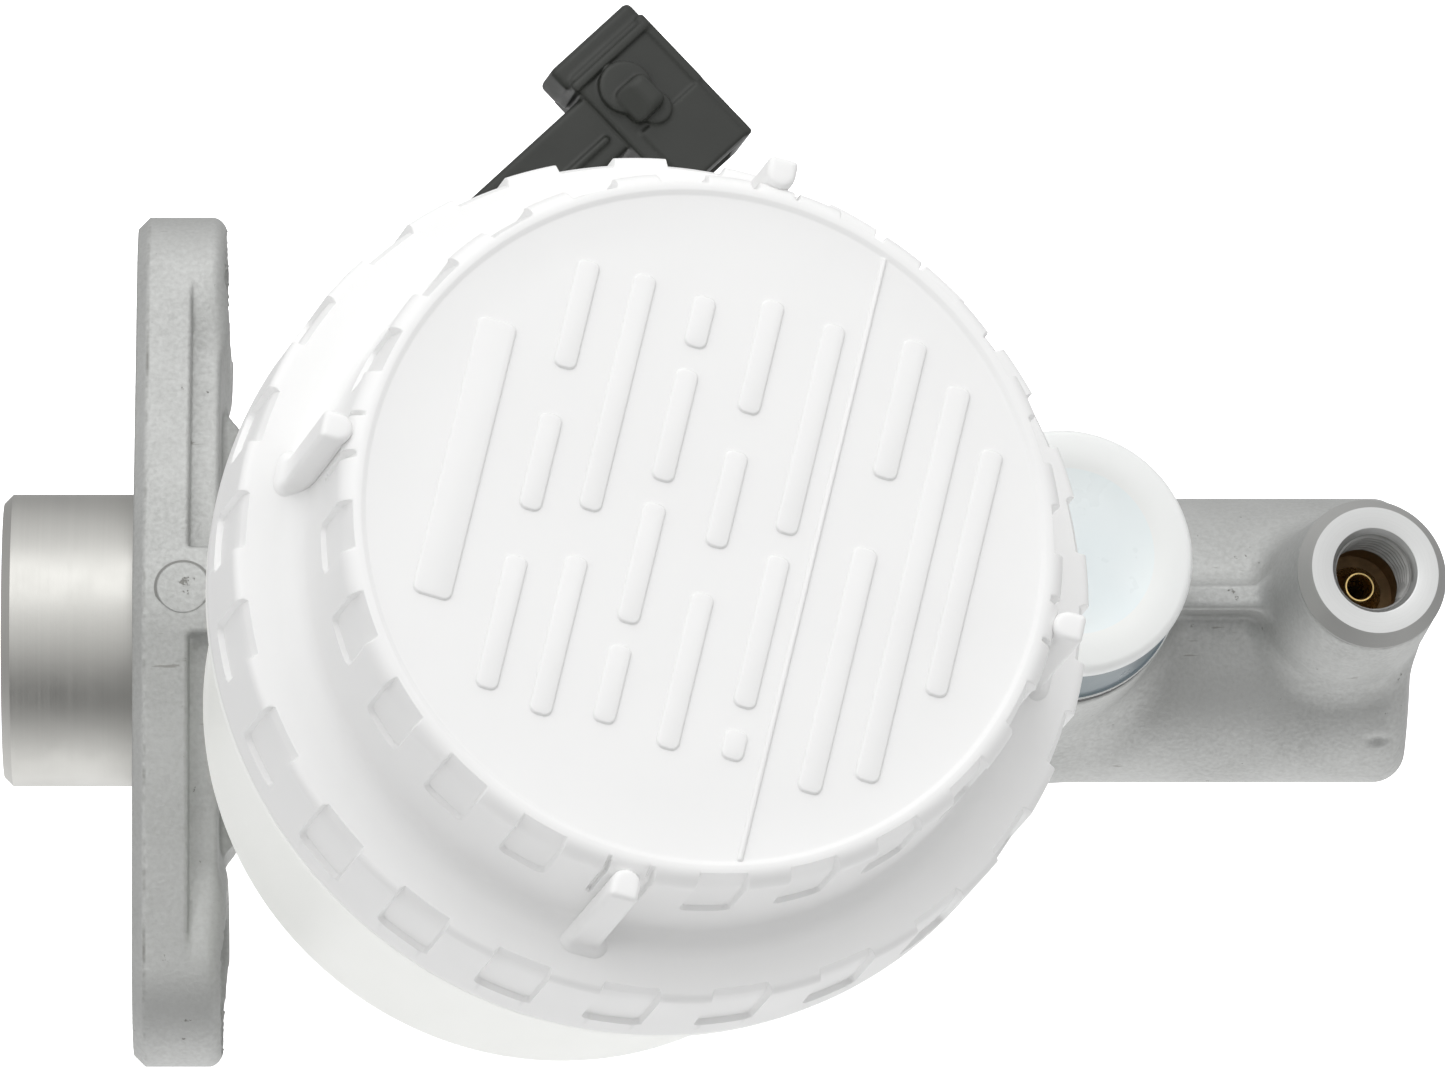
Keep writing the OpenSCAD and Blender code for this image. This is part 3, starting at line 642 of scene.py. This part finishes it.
def make_outlet(name, place, face, metals):
    """the machined end of an outlet: chamfered face and a threaded hole down to its floor"""
    floor_h = face - PORT_FLOOR
    thread_low, thread_high = face - 7.6, face - 0.9
    core_r = 4.75
    outside = [(5.9, floor_h - 0.4), (5.9, face - 2.6), (8.8, face - 2.6), (8.8, face - 2.0),
               (PORT_R, face - 2.0), (PORT_R, face - 1.7), (7.9, face), (5.5, face),
               (5.3, face - 0.05), (5.0, face - 0.5)]
    walls = line((core_r, thread_high), (core_r, thread_low), 88)
    bottom = [(4.85, thread_low - 0.5), (4.85, floor_h), (3.35, floor_h), (3.35, floor_h - 0.4)]

    def thread(angle, radius, height):
        """a thread of 1 mm pitch on the core, fading out at both ends"""
        turn = (height - angle / (2 * pi)) % 1.0
        tooth = 0.27 * np.clip(1.55 * (1 - np.abs(2 * turn - 1)) * 2 - 1.55, -1, 1)
        inside = (radius < core_r + 0.05) & (height <= thread_high) & (height >= thread_low)
        fade = np.clip((thread_high - height) / 0.5, 0, 1) * np.clip((height - thread_low) / 0.5, 0, 1)
        return np.where(inside, tooth * fade, 0)

    origin, *axes = place

    def finish_of(centre):
        """0 on the bright face, 1 on the outer chamfer and the thread, 2 at the drilled bottom"""
        p = [float(np.dot(centre - origin, axis)) for axis in axes]
        radius = np.hypot(p[0], p[1])
        if p[2] < thread_low - 0.4:
            return 2
        return 1 if radius > 7.92 or (radius < 5.1 and p[2] < thread_high) else 0

    made = lathe(outside + walls + bottom, 144, offset=thread)
    piece(name, [made], metals, "body_and_tank", place, split=finish_of)


def make_seat(name, place, face, node):
    """the brass seat for a flared pipe: a thin lip round a dark conical mouth"""
    tip, floor_h = face - 7.7, face - PORT_FLOOR
    mouth = [(1.1, floor_h - 3.0), (2.2, floor_h - 3.0), (2.2, floor_h), (3.3, floor_h), (3.3, floor_h + 0.6)]
    lip = [(1.95, tip - 0.25), (1.86, tip - 0.06), (1.78, tip), (1.62, tip),
           (1.55, tip - 0.06), (1.15, tip - 1.4)]
    piece(name, [lathe(mouth + lip, 96)], brass, "body_and_tank", place, (node,))


make_casting()
make_spigot()
make_seat("front_outlet_seat", OUTLET, OUTLET_FACE, "front_tube_seat")
make_seat("rear_outlet_seat", REAR_OUTLET, REAR_OUTLET_FACE, "rear_tube_seat")
make_outlet("front_outlet_mouth", OUTLET, OUTLET_FACE, [outlet_metal, outlet_chamfer, outlet_floor])
make_outlet("rear_outlet_mouth", REAR_OUTLET, REAR_OUTLET_FACE,
            [rear_outlet_metal, outlet_chamfer, outlet_floor])


# the cap ----------------------------------------------------------------------------------------

GRIPS = 24
GRIP_ANGLE = 360 / GRIPS
UPPER_PHASE, LOWER_PHASE = 3.2, 10.7      # angles of a grip pocket's middle on each tier
FIN_ANGLES = (78, 168, 258, 348)
RIM_TOP, DISC_TOP, STEP_H, CAP_LOW = 123.0, 122.6, 101.0, 84.5
UP_R, LOW_R = 43.6, 51.75                 # outer radius of the upper and the lower tier
UP_INSIDE, LOW_INSIDE = 41.75, 49.9       # inner radius of each tier
NOTICE_DIRECTION = 76.8                   # of the cap's dividing line and rows of bars, in degrees


def cap_thread(angle, height, depth):
    """a rounded ridge that climbs one pitch a turn"""
    turn = ((height - CAP_LOW) / CAP_PITCH - angle / (2 * pi)) % 1.0
    ridge = np.clip(1.35 - np.abs(turn - 0.5) * 7, 0, 1)
    return depth * ridge * ridge * (3 - 2 * ridge)


def pocket(angle, height, radius, phase, low, high, half):
    """1 inside the grip pockets of a tier, 0 outside, with steep sides and round lower corners"""
    corner, side = 1.1, 0.22
    away = (np.degrees(angle) - phase + GRIP_ANGLE / 2) % GRIP_ANGLE - GRIP_ANGLE / 2
    x = np.abs(np.radians(away)) * radius - half + corner
    y = low + corner - height
    d = np.hypot(np.maximum(x, 0), np.maximum(y, 0)) + np.minimum(np.maximum(x, y), 0) - corner
    return np.clip(0.5 - d / side, 0, 1) * (height < high)


def cap_offset(angle, radius, height):
    """grip pockets on both tiers, none behind a fin, and the thread inside"""
    # depth of the pockets: down to a facet that leans in with the rounded upper edge of its tier
    outer_upper = (radius > 41.45) & (radius < 44.2) & (height > 104)
    facet = np.interp(height, [104, 119.3, RIM_TOP], [42.85, 42.85, 42.0])
    upper = pocket(angle, height, UP_R, UPPER_PHASE, 111.4, 124, 2.98) * np.maximum(radius - facet, 0)
    for middle in FIN_ANGLES:
        away = np.abs((np.degrees(angle) - middle + 180) % 360 - 180)
        upper = upper * (away > 3)
    outer_lower = (radius > LOW_INSIDE) & (height > 85) & (height <= STEP_H)
    facet = np.interp(height, [85, 99.4, STEP_H], [51.05, 51.05, 50.3])
    lower = pocket(angle, height, LOW_R, LOWER_PHASE, 89.4, 102, 3.5) * np.maximum(radius - facet, 0)
    inner = (radius > 49.3) & (radius < 49.95) & (height > 85.5) & (height < 97.5)
    thread = cap_thread(angle, height, 0.7)
    return -np.where(outer_upper, upper, 0) - np.where(outer_lower, lower, 0) - np.where(inner, thread, 0)


def cap_angles():
    """angles of the lathe's columns, close together at the sides of the grip pockets"""
    near = np.array([0, 1.6, 2.6, 3.1, 3.45, 3.7, 3.85, 4.0, 4.2])
    one = np.concatenate([-near[1:], near])
    middles = [phase + GRIP_ANGLE * k for k in range(GRIPS) for phase in (UPPER_PHASE, LOWER_PHASE)]
    every = np.unique(np.round([(middle + d) % 360 for middle in middles for d in one], 3))
    apart = np.concatenate([[True], np.diff(every) > 0.08])
    return np.radians(every[apart])


def cap_profile():
    """section of the cap; its points lie close together where the pockets' lower edges cross it"""
    rim = [(0, DISC_TOP), (12, DISC_TOP), (24, DISC_TOP), (34, DISC_TOP), (40.35, DISC_TOP)]
    rim += [(40.6, DISC_TOP + 0.05), (40.95, RIM_TOP - 0.03), (41.2, RIM_TOP), (41.5, RIM_TOP)]
    rim += arc(41.5, 120.3, 2.1, 2.7, 85, 0, 10)
    wall = [(43.42, 120.22), (43.42, 119.3), (43.42, 116), (43.45, 113), (43.45, 112.4), (43.45, 112.0),
            (43.46, 111.75), (43.46, 111.55), (43.46, 111.4), (43.46, 111.25), (43.48, 110.5), (43.6, 105)]
    wall += arc(46.7, 104.0, 3.0, 3.0, 180, 270, 7)
    tier = [(48.6, STEP_H), (50.35, STEP_H)]
    tier += arc(50.75, STEP_H - 1.3, 1.0, 1.3, 85, 0, 6)
    tier += [(LOW_R, 97), (LOW_R, 93), (LOW_R, 90.4), (LOW_R, 90.0), (LOW_R, 89.75), (LOW_R, 89.55),
             (LOW_R, 89.4), (LOW_R, 89.25), (LOW_R, 86), (LOW_R, 84.9), (LOW_R - 0.3, CAP_LOW)]
    under = [(50.2, CAP_LOW), (LOW_INSIDE, CAP_LOW + 0.3)]
    under += line((LOW_INSIDE, 85.2), (LOW_INSIDE, 98.0), 30)
    under += [(49.4, 99.0), (42.2, 99.0), (UP_INSIDE, 99.6), (UP_INSIDE, 120.2), (41.2, 120.6)]
    under += [(20, 120.6), (0, 120.6)]
    return rim + wall + tier + under


def fin(angle):
    """a fin for a wrench: round inner end, soft edges and a flare where it meets the lower tier"""
    def outline(grow):
        inner, outer, half = 42.9 - grow, 46.8 + grow, 1.85 + grow
        corner = max(0.7 + grow, 0.05)
        made = arc(inner + half, 0, half, half, 90, 270, 9)
        made += arc(outer - corner, -half + corner, corner, corner, 270, 360, 5)
        made += arc(outer - corner, half - corner, corner, corner, 0, 90, 5)
        turn = radians(angle)
        return [(x * cos(turn) - y * sin(turn), x * sin(turn) + y * cos(turn)) for x, y in made]
    low, high = STEP_H, RIM_TOP
    levels = [(low - 0.4, 1.3), (low, 1.1), (low + 0.15, 0.75), (low + 0.45, 0.4), (low + 0.9, 0.15)]
    levels += [(low + 1.6, 0.0), (high - 0.8, -0.05), (high - 0.4, -0.15), (high - 0.15, -0.33)]
    levels += [(high - 0.03, -0.6), (high, -0.9)]
    return loft(outline, levels)


# plain bars where a cap carries its notices: place across the rows, height of the row, ends of its bars
NOTICE_ROWS = [
    (29.4, 4.6, [(-17.6, 17.2)]),
    (20.6, 2.6, [(-26.6, -10), (-4, 8), (14, 27.5)]),
    (13.7, 2.6, [(-27.8, -8), (-2, 27.8)]),
    (6.2, 2.6, [(-26.6, -17), (-14, 1), (4, 18), (21, 27.3)]),
    (-1.8, 2.6, [(-27.5, -8), (-2, 10), (15, 29.2)]),
    (-9.5, 2.6, [(-26.6, -23), (-20, -1), (2, 28.5)]),
    (-19.3, 2.8, [(-27.8, 3), (12, 29.4)]),
    (-25.6, 2.8, [(-24.5, 25.4)]),
    (-31.2, 2.6, [(-12, 19)]),
]
DIVIDER = -13.3


def bar(across, height, start, end):
    """a raised bar with soft edges, along the rows' direction from start to end"""
    turn = radians(NOTICE_DIRECTION)
    u = (cos(turn), sin(turn))
    v = (-sin(turn), cos(turn))
    shape = rounded(start, end, across - height / 2, across + height / 2, min(height * 0.35, 0.9))

    def outline(grow):
        return [(a * u[0] + b * v[0], a * u[1] + b * v[1]) for a, b in shape(grow)]
    top = DISC_TOP
    return loft(outline, [(top - 0.4, 0.15), (top, 0.15), (top + 0.08, 0.04), (top + 0.22, 0.0),
                          (top + 0.30, -0.08), (top + 0.34, -0.22)])


def make_cap():
    """the cap's shell, its fins, and the plain relief on its disc"""
    shell = lathe(cap_profile(), angles=cap_angles(), offset=cap_offset)
    piece("cap_shell", [shell], cap_plastic, "cap", TANK, ("reservoir_cap",), crisp=38)
    piece("cap_fins", [fin(a) for a in FIN_ANGLES], cap_plastic, "cap", TANK, crisp=50)
    bars = [bar(across, height, a, b) for across, height, ends in NOTICE_ROWS for a, b in ends]
    bars.append(bar(DIVIDER, 0.55, -38.2, 38.2))
    piece("cap_relief", bars, cap_plastic, "cap", TANK, crisp=50)


make_cap()


# the reservoir ----------------------------------------------------------------------------------

FLOOR_H = 30.5                            # underside of the tank and of the front cup
WALL = 2.2
NECK_R = 48.3
NIPPLE_LOW = 18.5                         # both nipples reach down to this height, into the grommets
NIPPLE_IN, NIPPLE_R = 7.0, 8.9


def make_tank():
    """the tapered tank with its collar and threaded neck, and its nipple in the rear inlet"""
    outer = [(0, FLOOR_H), (20, FLOOR_H), (34, FLOOR_H)] + arc(37.5, FLOOR_H + 4.5, 4.5, 4.5, -90, 0, 10)
    outer += line((42.05, 36), (47, 79.6), 16) + arc(50.4, 82.6, 1.0, 0.6, -120, 0, 5)
    outer += [(51.4, 83.6), (51.1, 84.0), (48.6, 84.0), (NECK_R, 84.3)]
    outer += line((NECK_R, 84.6), (NECK_R, 95.2), 26) + [(48.0, 95.8), (47.6, 96)]
    inner = [(46.4, 96), (46.1, 95.6), (46.1, 84), (47 - WALL, 80)] + line((44.6, 78), (42.05 - WALL, 37), 10)
    inner += arc(37.5, FLOOR_H + 4.5, 2.3, 2.3, 0, -90, 8) + [(20, FLOOR_H + WALL), (0, FLOOR_H + WALL)]

    def thread(angle, radius, height):
        """the neck's thread, half a pitch above the cap's"""
        on_neck = (np.abs(radius - NECK_R) < 0.05) & (height > 84.5) & (height < 95.3)
        fade = np.clip((95.2 - height) / 1.0, 0, 1) * np.clip((height - 84.6) / 1.0, 0, 1)
        return np.where(on_neck, cap_thread(angle, height + CAP_PITCH / 2, 0.75) * fade, 0)

    parts = [lathe(outer + inner, 224, offset=thread)]
    # the nipple goes down on the bore's plane, TANK_Y beside the tank's own axis
    nipple = [(NIPPLE_IN, NIPPLE_LOW), (NIPPLE_R - 0.3, NIPPLE_LOW), (NIPPLE_R, NIPPLE_LOW + 0.5),
              (NIPPLE_R, 31.4), (NIPPLE_IN, 31.4)]
    points, faces = lathe(nipple, 96)
    parts.append((points + np.array([0, -TANK_Y, 0]), faces))
    piece("tank_shell", parts, tank_plastic, "body_and_tank", TANK, ("reservoir_tank",))


def fittings(x, y, z):
    """the tank's ears, its switch pocket and the duct to the front cup"""
    u, w, h = local(x, y, z, STICK)
    a, b, c = local(x, y, z, TANK)
    pocket_box = box(u, w, h, (13, 37, 34.4), (27, 53.9, 45.6), 1.4)
    duct = box(a, b, c, (37, 12.9, 45.15), (47.2, 26.9, 52.15), 1.6)
    ears = box(x, np.abs(y) - 5.9, z, (PIN_X - 3.5, -1.5, 17.2), (PIN_X + 3.5, 1.5, 29.6), 0.8)
    made = np.minimum(np.minimum(pocket_box, duct), ears)
    # nothing reaches into the tank, whose wall widens upwards
    wall = np.hypot(a, b) - (39.85 + (c - 35) * 0.11)
    made = cut(made, np.maximum(wall + 0.6, 31.2 - c))
    made = cut(made, box(u, w, h, (14.4, 43.8, 35.9), (40, 52.4, 44.1), 0.3))
    made = cut(made, tube(x - PIN_X, z - PIN_Z, y, 2.1, -20.0, 20.0))
    return made


def make_fittings():
    mesh = isosurface(fittings, (20, -16, 14), (108, 40, 66), grid_step(0.5))
    piece("tank_fittings", [mesh], tank_plastic, "body_and_tank", crisp=None)


def make_front_cup():
    """the small cup on the front inlet: a nipple, a wall with a lip, a rolled rim and a dished top"""
    top = 41.3
    outer = [(NIPPLE_IN, NIPPLE_LOW), (NIPPLE_R - 0.3, NIPPLE_LOW), (NIPPLE_R, NIPPLE_LOW + 0.5),
             (NIPPLE_R, FLOOR_H)]
    outer += [(15.8, FLOOR_H), (16.0, FLOOR_H + 0.12), (16.0, FLOOR_H + 0.32), (15.85, FLOOR_H + 0.45),
              (15.6, FLOOR_H + 0.6), (15.5, FLOOR_H + 0.9), (14.9, top - 3.6), (14.8, top - 3.2)]
    outer += arc(14.3, top - 1.6, 1.05, 1.6, -60, 90, 12)
    outer += [(12.6, top + 0.02), (11.4, top - 0.1)]
    outer += [(10.4, top - 0.45), (9.2, top - 0.9), (6.5, top - 1.25), (3, top - 1.4), (0, top - 1.45)]
    inner = [(0, top - 3.1), (8, top - 3.0), (11.6, top - 2.8), (12.0, top - 3.4), (12.0, FLOOR_H + 3.0),
             (11.2, FLOOR_H + 2.0), (NIPPLE_IN + 0.2, FLOOR_H + 2.0), (NIPPLE_IN, FLOOR_H + 1.8)]

    def finish_of(centre):
        """1 in the top's shallow dish, 2 on the wall, darkened with painted shade, 0 elsewhere"""
        d = centre - CUP[0]
        h = float(np.dot(d, UPRIGHT))
        radius = np.hypot(float(np.dot(d, ACROSS)), d[1])
        if radius < 9.9 and h > top - 2:
            return 1
        return 2 if FLOOR_H + 0.4 < h < top - 2.3 and radius > 13 else 0

    piece("front_cup_shell", [lathe(outer + inner, 144)], [cup_plastic, cup_dish, cup_wall_painted_shade], "body_and_tank",
          CUP, ("front_cup",), split=finish_of)


make_tank()
make_fittings()
make_front_cup()


# the level switch -------------------------------------------------------------------------------

def switch(x, y, z):
    """head with its collar, ridge, side band and lug, and the stick that enters the tank's pocket"""
    head = box(x, y, z, (55.8, 35.2, 35.2), (68.2, 55.0, 44.7), 0.6)
    collar = box(x, y, z, (55.0, 53.9, 37.4), (68.6, 57.2, 44.3), 0.8)
    ridge = box(x, y, z, (55.3, 53.0, 37.6), (68.3, 54.2, 45.3), 0.35)
    head = join(np.minimum(head, collar), ridge, 0.15)
    # a side band in two lengths, and a raised panel over the socket
    head = np.minimum(head, box(x, y, z, (67.2, 43.8, 35.4), (68.6, 55.0, 45.0), 0.5))
    head = np.minimum(head, box(x, y, z, (67.2, 35.2, 35.4), (68.6, 44.4, 44.8), 0.45))
    head = np.minimum(head, box(x, y, z, (57.6, 35.4, 36.0), (67.6, 44.2, 45.05), 0.3))
    # two round lobes that carry a lug with a roof-shaped top
    lobe = tube(x - 60.2, y - 49.5, z, 3.3, 40.0, 45.8, 0.25)
    lobe = np.minimum(lobe, tube(x - 61.2, y - 45.3, z, 2.1, 40.0, 45.6, 0.25))
    lug = box(x, y, z, (57.9, 44.9, 40.0), (62.6, 49.7, 47.6), 1.1)
    lug = both(lug, 0.53 * (60.0 - x) + 0.85 * (z - 47.4), 0.25)
    head = join(head, lobe, 0.25)
    head = join(head, lug, 0.35)
    stick = box(x, y, z, (14.6, 43.9, 36.0), (56.0, 52.3, 44.0), 0.7)
    rib = box(x, y, z, (40.0, 46.0, 40.0), (54.5, 46.9, 44.5), 0.3)
    head = join(head, np.minimum(stick, rib), 0.4)
    socket = box(x, y, z, (57.4, 20.0, 36.6), (67.0, 45.0, 43.4), 0.4)
    reed_bore = tube(y - 48.1, z - 40.0, x, 1.7, 16.0, 34.0)
    return cut(cut(head, socket, 0.2), reed_bore)


def make_switch():
    mesh = isosurface(switch, (13, 31, 33), (70.5, 59, 49), grid_step(0.34))
    piece("level_switch_housing", [mesh], switch_plastic, "body_and_tank", STICK,
          ("level_switch",), crisp=None)


make_switch()


# return springs ---------------------------------------------------------------------------------

def spring(name, node, start, end, turns, body):
    """a coil spring with closed end turns, from start to end along the bore, carried by its body"""
    wire, mean, steps, sides = 1.1, 8.2, 40, 14
    closing = 0.35                        # rise of each closed end turn, in turns
    t = np.linspace(0, 1, turns * steps + 1)
    angle = 2 * pi * turns * t
    settle = np.clip(t * turns, 0, 1) * closing + np.clip(t * turns - turns + 1, 0, 1) * closing
    height = t * (turns - 1.3) + settle
    height = start + wire + (end - start - 2 * wire) * height / height[-1]
    ring = np.linspace(0, 2 * pi, sides, endpoint=False)
    radius = mean + wire * np.cos(ring)[None, :]
    rings = np.stack([radius * np.cos(angle)[:, None], radius * np.sin(angle)[:, None],
                      height[:, None] + wire * np.sin(ring)[None, :]], -1)
    points, faces = sweep(rings, closed=False)
    last = len(points) - sides
    faces = faces + [list(range(sides)), [last + i for i in range(sides)]]
    made = piece(name, [(points, faces)], spring_wire, body, BORE, (node,))
    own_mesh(made)


spring("primary_return_spring", "primary_spring", 47.5, 75.7, 6, "secondary")
spring("secondary_return_spring", "secondary_spring", 114.1, 148.4, 7, "body_and_tank")


# floor, light and camera ------------------------------------------------------------------------

ROOM_LEVEL = 0.44
# each glow has a direction, the cosine at which it starts, and its strength at the middle
ROOM_GLOWS = [
    ((0.0, 0.53, 0.85), -0.2, 0.62),      # a wide soft light above and behind
    ((0.0, -0.7, -0.71), 0.25, 0.95),     # the pale table in front
    ((0.0, -0.9, 0.44), 0.45, -0.30),     # the dim side of the room
]


def make_floor(height):
    """a glowing white floor; reflections and bounced light come from the room's glows instead of it"""
    size, glow = 3.0, 1.1
    mesh = bpy.data.meshes.new("floor")
    corners = [(-size, -size, height), (size, -size, height), (size, size, height), (-size, size, height)]
    mesh.from_pydata(corners, [], [(0, 1, 2, 3)])
    f = Finish("pale_floor", Roughness=0.9)
    grain = f.ramp(f.noise(60, 3), 0.3, 0.7)
    f.feed("Base Color", f.blend(grain, (0.93, 0.93, 0.93), (0.95, 0.95, 0.95)))
    f.shader.inputs["Emission Color"].default_value = (1.0, 1.0, 1.0, 1)
    f.shader.inputs["Emission Strength"].default_value = glow
    mesh.materials.append(f.material)
    floor = bpy.data.objects.new("floor", mesh)
    floor.visible_glossy = False
    floor.visible_diffuse = False
    bpy.context.scene.collection.objects.link(floor)


def area_light(name, place, power, size):
    """a square light that faces the object"""
    target = (0.07, 0.0, 0.03)
    light = bpy.data.lights.new(name, "AREA")
    light.energy = power
    light.size = size
    lamp = bpy.data.objects.new(name, light)
    lamp.location = place
    lamp.rotation_euler = (Vector(target) - Vector(place)).to_track_quat("-Z", "Y").to_euler()
    bpy.context.scene.collection.objects.link(lamp)


def make_camera():
    """a long lens far away, so that the view has nearly no perspective"""
    camera = bpy.data.cameras.new("camera")
    camera.sensor_width = 36
    camera.lens = 560.1
    tilt = radians(16)                    # the view is from above, tipped towards -Y
    distance = 2.75
    target = Vector((0.07169, 0.01211, 0.00347))
    holder = bpy.data.objects.new("camera", camera)
    holder.location = target + distance * Vector((0, -sin(tilt), cos(tilt)))
    holder.rotation_euler = (tilt, 0, 0)
    bpy.context.scene.collection.objects.link(holder)
    bpy.context.scene.camera = holder


def make_world():
    """an even pale room with a few broad glows"""
    world = bpy.data.worlds.new("studio")
    world.use_nodes = True
    tree = world.node_tree
    background = tree.nodes["Background"]
    background.inputs["Color"].default_value = (1.0, 1.0, 1.0, 1)
    sight = tree.nodes.new("ShaderNodeTexCoord")
    base = tree.nodes.new("ShaderNodeValue")
    base.outputs[0].default_value = ROOM_LEVEL
    total = base.outputs[0]
    for direction, start, strength in ROOM_GLOWS:
        towards = tree.nodes.new("ShaderNodeVectorMath")
        towards.operation = "DOT_PRODUCT"
        towards.inputs[1].default_value = direction
        tree.links.new(sight.outputs["Generated"], towards.inputs[0])
        level = tree.nodes.new("ShaderNodeMapRange")
        level.interpolation_type = "SMOOTHSTEP"
        for key, value in (("From Min", start), ("From Max", 1.0), ("To Min", 0.0), ("To Max", strength)):
            level.inputs[key].default_value = value
        tree.links.new(towards.outputs["Value"], level.inputs["Value"])
        added = tree.nodes.new("ShaderNodeMath")
        tree.links.new(total, added.inputs[0])
        tree.links.new(level.outputs["Result"], added.inputs[1])
        total = added.outputs[0]
    tree.links.new(total, background.inputs["Strength"])
    bpy.context.scene.world = world


bpy.context.scene.view_settings.view_transform = "Standard"
make_floor(cad_box[0].z - 0.0005)
area_light("key", (0.0, 0.7, 1.05), 2.6, 0.9)
area_light("fill", (-0.7, -0.1, 0.8), 0.9, 0.6)
make_world()
make_camera()
